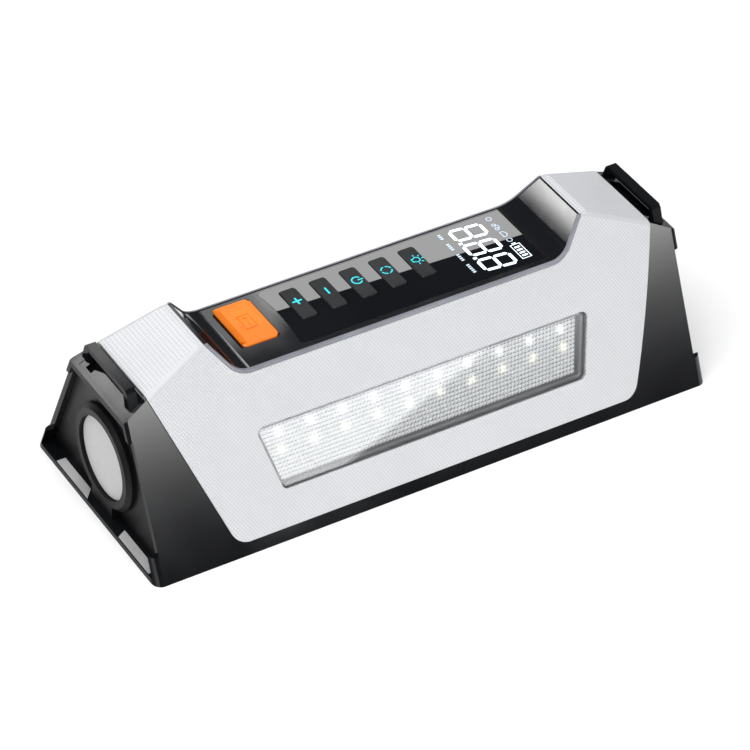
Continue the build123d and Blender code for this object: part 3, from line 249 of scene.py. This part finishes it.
class Shader:
    """One Principled material with short calls for its procedural nodes."""

    def __init__(self, name, colour, rough, **sockets):
        self.material = bpy.data.materials.new(name)
        self.material.use_nodes = True
        self.tree = self.material.node_tree
        self.bsdf = self.tree.nodes["Principled BSDF"]
        self.set("Base Color", (*colour, 1))
        self.set("Roughness", rough)
        for key, value in sockets.items():
            self.set(key.replace("_", " "), value)

    def set(self, socket, value):
        self.bsdf.inputs[socket].default_value = value

    def link(self, output, socket):
        self.tree.links.new(output, self.bsdf.inputs[socket])

    def node(self, kind, **inputs):
        made = self.tree.nodes.new(kind)
        for key, value in inputs.items():
            self.feed(made, key.replace("_", " "), value)
        return made

    def feed(self, node, key, value):
        socket = node.inputs[int(key) if key.isdigit() else key]
        if isinstance(value, bpy.types.NodeSocket):
            self.tree.links.new(value, socket)
        else:
            socket.default_value = value

    def place(self):
        """Object coordinates, which are the row frame in metres."""
        return self.node("ShaderNodeTexCoord").outputs["Object"]

    def split(self, vector):
        made = self.node("ShaderNodeSeparateXYZ", Vector=vector)
        return made.outputs["X"], made.outputs["Y"], made.outputs["Z"]

    def math(self, operation, first, second=0.0, third=0.0):
        made = self.tree.nodes.new("ShaderNodeMath")
        made.operation = operation
        for index, value in enumerate((first, second, third)):
            self.feed(made, str(index), value)
        return made.outputs[0]

    def noise(self, scale, detail=2.0, vector=None):
        made = self.node("ShaderNodeTexNoise", Scale=scale, Detail=detail)
        self.tree.links.new(vector or self.place(), made.inputs["Vector"])
        return made.outputs["Fac"]

    def ramp(self, value, *stops):
        """Colour ramp from (position, colour) stops."""
        made = self.node("ShaderNodeValToRGB", Fac=value)
        points = made.color_ramp.elements
        for index, (position, colour) in enumerate(stops):
            point = points[index] if index < 2 else points.new(position)
            point.position = position
            point.color = (*colour, 1)
        return made.outputs["Color"]

    def mix(self, factor, first, second):
        made = self.tree.nodes.new("ShaderNodeMix")
        made.data_type = "RGBA"
        self.feed(made, "0", factor)
        for index, value in ((6, first), (7, second)):
            self.feed(made, str(index), (*value, 1) if isinstance(value, tuple) else value)
        return made.outputs[2]

    def bump(self, height, strength, distance, under=None):
        made = self.node("ShaderNodeBump", Height=height, Strength=strength, Distance=distance)
        if under is not None:
            self.tree.links.new(under, made.inputs["Normal"])
        return made.outputs["Normal"]

    def spread_rough(self, low, high, scale):
        """Roughness that wanders between two values."""
        made = self.node("ShaderNodeMapRange", Value=self.noise(scale, 3.0), To_Min=low, To_Max=high)
        made.inputs["From Min"].default_value = 0.3
        made.inputs["From Max"].default_value = 0.7
        self.link(made.outputs["Result"], "Roughness")


def plain_floor():
    shader = Shader("floor_paper", (0.93, 0.93, 0.93), 0.9, Specular_IOR_Level=0.1)
    tones = shader.ramp(shader.noise(3.0), (0.3, (0.925, 0.925, 0.925)), (0.7, (0.935, 0.935, 0.935)))
    shader.link(tones, "Base Color")
    return shader.material


def moulded(name, colour, rough, grain=0.25, **sockets):
    """Moulded plastic: fine spark-eroded grain, slight cloudiness and handling marks."""
    shader = Shader(name, colour, rough, **sockets)
    cloud = shader.noise(60.0, 3.0)
    deep = tuple(c * 0.82 for c in colour)
    light = tuple(min(1.0, c * 1.14) for c in colour)
    shader.link(shader.ramp(cloud, (0.35, deep), (0.65, light)), "Base Color")
    shader.spread_rough(rough - 0.05, rough + 0.06, 35.0)
    fine = shader.noise(5200.0, 1.0)
    shader.link(shader.bump(fine, grain, 0.00003), "Normal")
    return shader.material


def shell_material():
    """Satin black moulding, duller on the faces that look along the body."""
    shader = Shader("case_black_satin", (0.005, 0.0055, 0.0065), 0.15)
    cloud = shader.noise(60.0, 3.0)
    tones = shader.ramp(cloud, (0.35, (0.004, 0.0045, 0.0055)), (0.65, (0.006, 0.0066, 0.008)))
    shader.link(tones, "Base Color")
    along, _, _ = shader.split(shader.node("ShaderNodeNewGeometry").outputs["Normal"])
    endwise = shader.math("ABSOLUTE", along)
    shine = shader.node("ShaderNodeMapRange", Value=endwise, To_Min=0.6, To_Max=0.06)
    shine.inputs["From Min"].default_value = 0.55
    shine.inputs["From Max"].default_value = 0.85
    shader.link(shine.outputs["Result"], "Specular IOR Level")
    shader.spread_rough(0.06, 0.12, 35.0)
    shader.link(shader.bump(shader.noise(5200.0, 1.0), 0.06, 0.00003), "Normal")
    return shader.material


def cover_material():
    """White moulding: a diamond grain on the leaning sides and crossed ribs on the sloping tops."""
    shader = Shader("cover_white_grain", (0.80, 0.81, 0.83), 0.42, Specular_IOR_Level=0.4)
    x, y, z = shader.split(shader.place())
    up_side = shader.math("MULTIPLY", z, LEAN_LENGTH)
    diamond_rate = 2 * math.pi / (1.25 * MM)
    rib_rate = 2 * math.pi / (1.35 * MM)

    def ridge(value, rate):
        """Narrow raised lines, from 0 to 1, with rate radians of the wave to a metre."""
        wave = shader.math("SINE", shader.math("MULTIPLY", value, rate))
        return shader.math("POWER", shader.math("MULTIPLY_ADD", wave, 0.5, 0.5), 3.0)

    steep = 0.62
    one = shader.math("ADD", x, shader.math("MULTIPLY", up_side, steep))
    two = shader.math("SUBTRACT", shader.math("MULTIPLY", x, steep), up_side)
    diamond = shader.math("MAXIMUM", ridge(one, diamond_rate), ridge(two, diamond_rate))
    cross_ribs = shader.math("MULTIPLY", ridge(y, rib_rate), 0.8)
    ribs = shader.math("MAXIMUM", ridge(x, rib_rate), cross_ribs)
    _, normal_y, _ = shader.split(shader.node("ShaderNodeNewGeometry").outputs["Normal"])
    sideways = shader.math("ABSOLUTE", normal_y)
    side_grain = shader.math("MULTIPLY", diamond, shader.math("GREATER_THAN", sideways, 0.88))
    top_grain = shader.math("MULTIPLY", ribs, shader.math("LESS_THAN", sideways, 0.10))
    height = shader.math("ADD", side_grain, top_grain)
    cloud = shader.noise(45.0, 3.0)
    base = shader.ramp(cloud, (0.35, (0.69, 0.695, 0.71)), (0.65, (0.72, 0.725, 0.74)))
    # Painted shade: the colour darkens to grey between the raised lines of the grain, where the
    # pattern's height is low.
    groove_shade = shader.mix(height, (0.55, 0.56, 0.585), base)
    shader.link(groove_shade, "Base Color")
    shader.spread_rough(0.36, 0.48, 40.0)
    coarse = shader.bump(height, 0.8, 0.00014)
    fine = shader.noise(4200.0, 1.0)
    shader.link(shader.bump(fine, 0.12, 0.00002, under=coarse), "Normal")
    return shader.material


def gloss(name, colour, rough=0.04, **sockets):
    """Polished plastic with faint swirl marks."""
    shader = Shader(name, colour, rough, **sockets)
    smear = shader.noise(25.0, 4.0)
    light = tuple(c * 1.5 for c in colour)
    shader.link(shader.ramp(smear, (0.4, colour), (0.7, light)), "Base Color")
    shader.spread_rough(rough, rough * 1.5 + 0.004, 90.0)
    return shader.material


def metal(name, colour, rough, stretch=(1, 1, 1)):
    """Plated or turned metal, with fine lines drawn out along one direction."""
    shader = Shader(name, colour, rough, Metallic=1.0)
    mapped = shader.node("ShaderNodeMapping", Vector=shader.place())
    mapped.inputs["Scale"].default_value = stretch
    lines = shader.noise(900.0, 3.0, mapped.outputs["Vector"])
    deep = tuple(c * 0.8 for c in colour)
    shader.link(shader.ramp(lines, (0.3, deep), (0.7, colour)), "Base Color")
    shader.spread_rough(rough - 0.06, rough + 0.08, 120.0)
    shader.link(shader.bump(lines, 0.1, 0.00003), "Normal")
    return shader.material


def clear(name, colour, rough=0.004):
    """Clear acrylic: see-through, with a mirror shine that grows towards grazing angles."""
    shader = Shader(name, colour, rough, Metallic=1.0)
    shader.spread_rough(rough, rough + 0.012, 60.0)
    streak = shader.noise(30.0, 3.0)
    deep = tuple(c * 0.96 for c in colour)
    shader.link(shader.ramp(streak, (0.35, deep), (0.65, colour)), "Base Color")
    through = shader.node("ShaderNodeBsdfTransparent", Color=(0.97, 0.975, 0.98, 1))
    shine = shader.node("ShaderNodeFresnel", IOR=1.5)
    blend = shader.node("ShaderNodeMixShader", Fac=shine.outputs["Fac"])
    output = shader.tree.nodes["Material Output"]
    shader.tree.links.new(through.outputs["BSDF"], blend.inputs[1])
    shader.tree.links.new(shader.bsdf.outputs["BSDF"], blend.inputs[2])
    shader.tree.links.new(blend.outputs["Shader"], output.inputs["Surface"])
    return shader.material


def glowing(name, colour, strength):
    """Lit legend: even glow with a faint grain of the diffuser behind it."""
    shader = Shader(name, tuple(c * 0.6 for c in colour), 0.4)
    grain = shader.noise(2600.0, 1.0)
    dim = tuple(c * 0.9 for c in colour)
    shader.link(shader.ramp(grain, (0.3, dim), (0.7, colour)), "Emission Color")
    shader.set("Emission Strength", strength)
    return shader.material


def frosted_lens():
    """Frosted torch lens: even pale grey with a fine etched grain."""
    shader = Shader("torch_frost", (0.56, 0.56, 0.56), 0.5, Specular_IOR_Level=0.15)
    etched = shader.noise(700.0, 2.0)
    tones = shader.ramp(etched, (0.35, (0.545, 0.545, 0.545)), (0.65, (0.575, 0.575, 0.575)))
    shader.link(tones, "Base Color")
    shader.spread_rough(0.45, 0.6, 200.0)
    shader.link(shader.bump(shader.noise(5000.0, 1.0), 0.1, 0.00002), "Normal")
    return shader.material


def board_material(name, colour):
    """Circuit board: solder mask over copper tracks."""
    shader = Shader(name, colour, 0.35)
    brick = shader.node("ShaderNodeTexBrick", Vector=shader.place(), Scale=260.0)
    brick.inputs["Color1"].default_value = (*colour, 1)
    brick.inputs["Color2"].default_value = (*(c * 0.8 for c in colour), 1)
    brick.inputs["Mortar"].default_value = (*(min(1, c * 1.6) for c in colour), 1)
    brick.inputs["Mortar Size"].default_value = 0.03
    shader.link(brick.outputs["Color"], "Base Color")
    shader.link(shader.bump(brick.outputs["Fac"], 0.2, 0.00003), "Normal")
    return shader.material


def make_materials():
    """Every finish by the record's slot name, and end_black for the matt end panels."""
    return {
        "end_black": moulded(
            "end_black_matt", (0.006, 0.006, 0.007), 0.45, 0.2, Specular_IOR_Level=0.15
        ),
        "case_black": shell_material(),
        "cover_white": cover_material(),
        "panel_gloss": gloss(
            "panel_piano_gloss", (0.006, 0.0065, 0.008), 0.06, Specular_IOR_Level=0.6
        ),
        "trim_grey": moulded("trim_satin_grey", (0.20, 0.205, 0.235), 0.33, 0.1),
        "window_clear": gloss("window_smoked", (0.004, 0.0045, 0.006), 0.0),
        "lens_clear": clear("lens_clear_acrylic", (0.95, 0.96, 0.97)),
        "lens_frosted": frosted_lens(),
        "tray_grey": moulded("tray_mid_grey", (0.33, 0.33, 0.335), 0.35, 0.1),
        "board_white": board_material("board_white_mask", (0.8, 0.8, 0.8)),
        "board_green": board_material("board_green_mask", (0.02, 0.13, 0.06)),
        "led_yellow": moulded("led_phosphor", (0.9, 0.75, 0.25), 0.3, 0.05),
        "reflector": metal("reflector_bright", (0.85, 0.85, 0.86), 0.14),
        "switch_black": moulded("switch_moulding", (0.03, 0.03, 0.03), 0.5),
        "steel": metal("plated_steel", (0.58, 0.58, 0.6), 0.32, (1, 6, 6)),
        "display_dark": gloss("display_filter", (0.008, 0.009, 0.011), 0.08),
        "brass": metal("brass_plain", (0.72, 0.52, 0.25), 0.3, (6, 6, 1)),
        "rubber_orange": moulded(
            "rubber_orange_satin", (0.98, 0.215, 0.010), 0.30, 0.15, Specular_IOR_Level=0.8
        ),
        "rubber_black": moulded("rubber_black_satin", (0.022, 0.022, 0.024), 0.6, 0.3),
        "ferrite": moulded("ferrite_block", (0.08, 0.08, 0.09), 0.6),
        "aluminium": metal("cast_aluminium", (0.66, 0.66, 0.68), 0.42),
        "gear_plastic": moulded("acetal_natural", (0.70, 0.69, 0.62), 0.4),
        "cell_foil": metal("cell_foil_pouch", (0.62, 0.62, 0.65), 0.4, (1, 8, 8)),
        "key_grey": moulded("key_soft_grey", (0.014, 0.0155, 0.0165), 0.32, 0.12),
    }


# Nodes whose finish differs from the one of their slot.
OWN_FINISH = {"left_end_panel": "end_black", "right_end_panel": "end_black"}


def dress_nodes(materials):
    """Give every CAD node its finish."""
    for entry in frame["record"]["subparts"]:
        node = nodes[entry["node"]]
        finish = OWN_FINISH.get(entry["node"], entry["material_slot"])
        node.data.materials.clear()
        node.data.materials.append(materials[finish])


# ---------------------------------------------------------------- thin raised legends

def flat_mesh(name, outlines, low, high, material, body):
    """Closed plates between two heights from (x, y) outlines, riding on a body."""
    made = bmesh.new()
    for outline in outlines:
        bottom = [made.verts.new((x, y, low)) for x, y in outline]
        top = [made.verts.new((x, y, high)) for x, y in outline]
        made.faces.new(top)
        made.faces.new(bottom[::-1])
        count = len(outline)
        for index in range(count):
            after = (index + 1) % count
            made.faces.new((bottom[index], bottom[after], top[after], top[index]))
    bmesh.ops.recalc_face_normals(made, faces=made.faces)
    mesh = bpy.data.meshes.new(name)
    made.to_mesh(mesh)
    made.free()
    mesh.materials.append(material)
    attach(new_object(name, mesh), body)


def stroke(points, width, closed=False):
    """Outlines of a line of even width: one four-cornered plate per segment, mitred at its ends."""
    count = len(points)
    spots = [Vector(p) for p in points]
    sides = []
    for index in range(count):
        before = spots[index - 1] if closed or index else None
        after = spots[(index + 1) % count] if closed or index < count - 1 else None
        run_in = (spots[index] - before).normalized() if before is not None else None
        run_out = (after - spots[index]).normalized() if after is not None else None
        run_in = run_in or run_out
        run_out = run_out or run_in
        along = (run_in + run_out).normalized()
        across = Vector((-along.y, along.x))
        half = width / 2 / max(0.5, along.dot(run_out))
        sides.append((spots[index] + across * half, spots[index] - across * half))
    plates = []
    for index in range(count if closed else count - 1):
        after = (index + 1) % count
        plates.append([sides[index][0], sides[after][0], sides[after][1], sides[index][1]])
    return [[(p.x, p.y) for p in plate] for plate in plates]


def arc(centre, radius, start, end, steps=18):
    """Points on a round arc, angles in degrees."""
    turns = [start + (end - start) * step / steps for step in range(steps + 1)]
    return [on_circle(centre, radius, turn) for turn in turns]


def bar(x0, y0, x1, y1):
    """Corners of an upright rectangle."""
    return [(x0, y0), (x1, y0), (x1, y1), (x0, y1)]


def reading(plates, origin):
    """Legend coordinates (right, up) in mm to the panel: right is -Y and up is +X."""
    return [
        [(origin[0] + up * MM, origin[1] - right * MM) for right, up in plate]
        for plate in plates
    ]


def on_circle(centre, radius, turn):
    """Point on a circle, at turn degrees."""
    angle = math.radians(turn)
    return (centre[0] + radius * math.cos(angle), centre[1] + radius * math.sin(angle))


LEGEND_THICK = 0.03 * MM                      # lit signs stand this far off their surface


def lamp_sign():
    """A bulb, its cap and five rays."""
    line = 0.42
    bulb = (0, 0.2)
    plates = stroke(arc(bulb, 1.3, -50, 230), line)
    plates += stroke([(-0.85, -0.75), (-0.85, -1.5), (0.85, -1.5), (0.85, -0.75)], line)
    for turn in (0, 45, 90, 135, 180):
        plates += stroke([on_circle(bulb, 2.0, turn), on_circle(bulb, 2.9, turn)], line)
    return plates


def broken_ring():
    """Four arcs with gaps between them."""
    plates = []
    for turn in (10, 100, 190, 280):
        plates += stroke(arc((0, 0), 2.0, turn, turn + 68, 8), 0.5)
    return plates


def key_legends(material):
    """Plus, minus, power, ring and lamp signs, each on its own key."""
    half = 1.9
    gap = 0.35
    line = 0.7
    lying = stroke([(-half, 0), (half, 0)], line)
    signs = {
        "plus": lying + stroke([(0, -half), (0, -gap)], line) + stroke([(0, gap), (0, half)], line),
        "minus": lying,
        "power": stroke(arc((0, 0), half, 125, 415), 0.55) + stroke([(0, 0.3), (0, 2.4)], 0.55),
        "mode": broken_ring(),
        "light": lamp_sign(),
    }
    for sign, plates in signs.items():
        low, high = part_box(f"key_{sign}")
        middle = ((low.x + high.x) / 2, (low.y + high.y) / 2 + 1.0 * MM)
        top = high.z + LEGEND_THICK
        flat_mesh(f"key_{sign}_sign", reading(plates, middle), high.z, top, material, f"{sign}_key")


def digit_plates(left, foot):
    """The seven segments of one lit digit, in mm, leaning a little to the right."""
    width, height, thick, gap = 7.6, 13.6, 1.3, 0.26
    lean = 0.10
    half, mid = thick / 2, height / 2

    def across(up):
        """One lying segment centred at height up, with pointed ends."""
        a, b = half + gap, width - half - gap
        return [
            (a, up), (a + half, up + half), (b - half, up + half),
            (b, up), (b - half, up - half), (a + half, up - half),
        ]

    def upright(right, low, high):
        """One standing segment centred at right, with pointed ends."""
        a, b = low + gap, high - gap
        return [
            (right, a), (right + half, a + half), (right + half, b - half),
            (right, b), (right - half, b - half), (right - half, a + half),
        ]

    plates = [across(half), across(mid), across(height - half)]
    for right in (half, width - half):
        plates.append(upright(right, half, mid))
        plates.append(upright(right, mid, height - half))
    return [[(left + x + lean * y, foot + y) for x, y in plate] for plate in plates]


def display_digits():
    """Three digits with points between them."""
    pitch = 9.8
    plates = []
    for number in range(3):
        plates += digit_plates(pitch * number, 2.2)
        if number < 2:
            plates.append(bar(8.3 + pitch * number, 2.3, 9.5 + pitch * number, 3.7))
    return plates


def display_gauge():
    """Battery outline with its pole and four bars."""
    plates = stroke(bar(18.6, 18.0, 27.2, 21.8), 0.28, closed=True)
    plates.append(bar(17.6, 19.1, 18.2, 20.7))
    for step in range(4):
        plates.append(bar(19.9 + 1.75 * step, 18.8, 20.8 + 1.75 * step, 21.0))
    return plates


def display_signs():
    """Plain ball, two-wheel, car and ring shapes above the digits."""
    wheels = ((5.2, 19.4), (7.6, 19.4))
    car = [(9.9, 19.0), (9.9, 20.0), (10.8, 20.9), (12.3, 20.9), (13.0, 20.0), (13.0, 19.0)]
    plates = stroke(arc((1.2, 19.8), 1.0, 0, 360), 0.3)
    for wheel in wheels:
        plates += stroke(arc(wheel, 0.75, 0, 360), 0.28)
    plates += stroke([wheels[0], (6.0, 20.7), (7.2, 20.7), wheels[1]], 0.28)
    plates += stroke(car, 0.3, closed=True)
    plates += stroke(arc((15.4, 19.8), 1.0, 200, 520), 0.3)
    return plates


def display_dashes():
    """Four groups of short dashes below the digits."""
    dash, pitch = 0.7, 1.15
    plates = []
    for start, length in ((0.5, 3.2), (6.6, 4.4), (13.6, 4.0), (20.4, 4.6)):
        for step in range(int(length / pitch) + 1):
            left = start + pitch * step
            plates.append(bar(left, -1.9, left + dash, -0.7))
    return plates


def display_legends(bright, soft):
    """Everything lit on the display, just above the window."""
    origin = (DISPLAY_LOW.x, DISPLAY_HIGH.y)
    groups = (
        ("display_digits", display_digits(), bright),
        ("display_gauge", display_gauge(), bright),
        ("display_signs", display_signs(), soft),
        ("display_dashes", display_dashes(), soft),
    )
    for name, plates, material in groups:
        outlines = reading(plates, origin)
        flat_mesh(name, outlines, PANEL_Z, PANEL_Z + LEGEND_THICK, material, "housing")


def ledge_strips(material):
    """Two pale strips on the ledge outside each end panel: a painted reflection, thin pale grey
    plates standing in for soft light mirrored in the black ledge.
    """
    ledge_z, strip_thick = 2.2 * MM, 0.25 * MM
    inner, outer = 111.6, 115.1
    back_strip = [(inner, 10.5), (outer, 6.5), (outer, 30.0), (inner, 30.0)]
    front_strip = [(inner, -15.0), (outer, -17.0), (outer, -39.0), (inner, -39.0)]
    outlines = [
        [(side * x * MM, y * MM) for x, y in strip]
        for side in (-1, 1)
        for strip in (back_strip, front_strip)
    ]
    flat_mesh("ledge_strips", outlines, ledge_z, ledge_z + strip_thick, material, "housing")


# ---------------------------------------------------------------- work light

LED_COLUMNS = 10
LED_WIDTH = 2.8 * MM
# Height of each row of painted glints, given as emission over the LEDs, up the leaning side, and its
# colour.
LED_ROWS = ((36.2 * MM, (1.0, 1.0, 1.0)), (29.6 * MM, (1.0, 0.95, 0.66)))
GLINT_REACH = 1.5 * MM


def prism_plate(material):
    """Clear plate with rows of small pyramids, in place of the plain CAD plate."""
    pitch = 1.5 * MM
    spots = [vertex.co for vertex in nodes["lamp_prism_plate"].data.vertices]
    depth = max((spot - FRONT_FOOT).dot(FRONT_OUT) for spot in spots)
    ups = [(spot - FRONT_FOOT).dot(FRONT_UP) for spot in spots]
    foot, top = min(ups), max(ups)
    middle = (PRISM_LOW.x + PRISM_HIGH.x) / 2
    near_foot = [spot.x for spot, up in zip(spots, ups) if up < foot + 3 * MM]
    half_foot = (max(near_foot) - min(near_foot)) / 2
    half_top = (PRISM_HIGH.x - PRISM_LOW.x) / 2
    rows = int((top - foot) / pitch)
    row_pitch = (top - foot) / rows
    peak = 0.62 * MM
    side_gap = 0.2 * MM
    made = bmesh.new()

    def corner(right, up, lift):
        """Mesh corner, right of the plate's middle and lift above its face."""
        place = FRONT_FOOT + FRONT_UP * up + FRONT_OUT * (depth + lift)
        return made.verts.new((middle + right, place.y, place.z))

    for row in range(rows):
        up0, up1 = foot + row * row_pitch, foot + (row + 1) * row_pitch
        half = half_foot + (half_top - half_foot) * (up0 - foot) / (top - foot) - side_gap
        columns = int(2 * half / pitch)
        step = 2 * half / columns
        for column in range(columns):
            a, b = -half + column * step, -half + (column + 1) * step
            ring = [corner(right, up, 0) for right, up in bar(a, up0, b, up1)]
            tip = corner((a + b) / 2, (up0 + up1) / 2, peak)
            for index in range(4):
                made.faces.new((ring[index], ring[(index + 1) % 4], tip))
    bmesh.ops.remove_doubles(made, verts=made.verts, dist=0.00001)
    mesh = bpy.data.meshes.new("lamp_prisms")
    made.to_mesh(mesh)
    made.free()
    mesh.materials.append(material)
    piece = new_object("lamp_prisms", mesh)
    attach(piece, "housing")
    return piece


def prism_material():
    """Painted shade on the facets: bright where a facet faces up and towards -X, grey on the others;
    a painted glint over each LED, and the facet shade given again as faint emission.
    """
    shader = Shader("prism_painted_facet_shade", (0.80, 0.81, 0.82), 0.16)
    x, _, z = shader.split(shader.place())
    normal = shader.node("ShaderNodeNewGeometry").outputs["Normal"]
    # Painted shade: the way from which the facets are taken as lit.
    painted_light_way = FRONT_UP - Vector((0.35, 0, 0))
    upward = shader.node("ShaderNodeVectorMath", **{"0": normal, "1": painted_light_way})
    upward.operation = "DOT_PRODUCT"
    painted_facet_shade = shader.math("MULTIPLY_ADD", upward.outputs["Value"], 0.7, 0.5)
    streak = shader.math("MULTIPLY_ADD", shader.noise(700.0, 3.0), 0.5, -0.25)
    facet_shade_and_streak = shader.math("ADD", painted_facet_shade, streak)
    # Painted shade: facets facing the light way get near white, the others dark grey, with a random
    # streak on top.
    tones = shader.ramp(
        facet_shade_and_streak,
        (0.1, (0.22, 0.225, 0.235)),
        (0.45, (0.60, 0.605, 0.62)),
        (0.75, (0.98, 0.98, 0.98)),
    )
    shader.link(tones, "Base Color")
    led_low, led_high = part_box("lamp_leds")
    pitch = (led_high.x - led_low.x - LED_WIDTH) / (LED_COLUMNS - 1)
    start = led_low.x + LED_WIDTH / 2
    up = shader.math("MULTIPLY", z, LEAN_LENGTH)
    cell = shader.math("DIVIDE", shader.math("SUBTRACT", x, start), pitch)
    off_cell = shader.math("SUBTRACT", cell, shader.math("ROUND", cell))
    off_x = shader.math("MULTIPLY", off_cell, pitch)
    speck = shader.math("GREATER_THAN", shader.noise(1100.0, 1.0), 0.48)
    # Painted glints: emission spots over each LED, broken up by a speckle mask.
    painted_glints = []
    for row, tint in LED_ROWS:
        off_up = shader.math("SUBTRACT", up, row)
        square_x = shader.math("MULTIPLY", off_x, off_x)
        square = shader.math("MULTIPLY_ADD", off_up, off_up, square_x)
        near = shader.math("EXPONENT", shader.math("MULTIPLY", square, -1 / GLINT_REACH ** 2))
        patch = shader.math("MULTIPLY", near, shader.math("MULTIPLY_ADD", speck, 0.75, 0.25))
        painted_glints.append(shader.mix(patch, (0.0, 0.0, 0.0), tint))
    both = shader.tree.nodes.new("ShaderNodeMix")
    both.data_type = "RGBA"
    both.blend_type = "ADD"
    shader.feed(both, "0", 1.0)
    shader.feed(both, "6", painted_glints[0])
    shader.feed(both, "7", painted_glints[1])
    # Painted glow: the facet shade is given again as emission over the whole plate.
    lit = shader.math("MULTIPLY", shader.math("MAXIMUM", facet_shade_and_streak, 0.0), 0.32)
    painted_facet_glow = shader.node("ShaderNodeCombineXYZ", X=lit, Y=lit, Z=lit)
    glow = shader.node("ShaderNodeVectorMath", **{"0": both.outputs[2], "1": painted_facet_glow.outputs["Vector"]})
    shader.link(glow.outputs["Vector"], "Emission Color")
    shader.set("Emission Strength", 0.9)
    shader.spread_rough(0.12, 0.22, 300.0)
    return shader.material


# ---------------------------------------------------------------- assembly of the scene

make_camera()
make_stage()
finishes = make_materials()
dress_nodes(finishes)
cyan_glow = glowing("legend_cyan", (0.03, 0.50, 0.58), 1.25)
white_glow = glowing("legend_white", (0.80, 0.93, 1.0), 1.6)
soft_glow = glowing("legend_soft", (0.62, 0.75, 0.9), 0.8)
key_legends(cyan_glow)
display_legends(white_glow, soft_glow)
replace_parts(prism_plate(prism_material()), "lamp_prism_plate")
# Painted reflection: pale grey plates on the end ledges stand in for light mirrored there.
ledge_strips(moulded("strip_painted_reflection", (0.42, 0.42, 0.42), 0.4, 0.1))
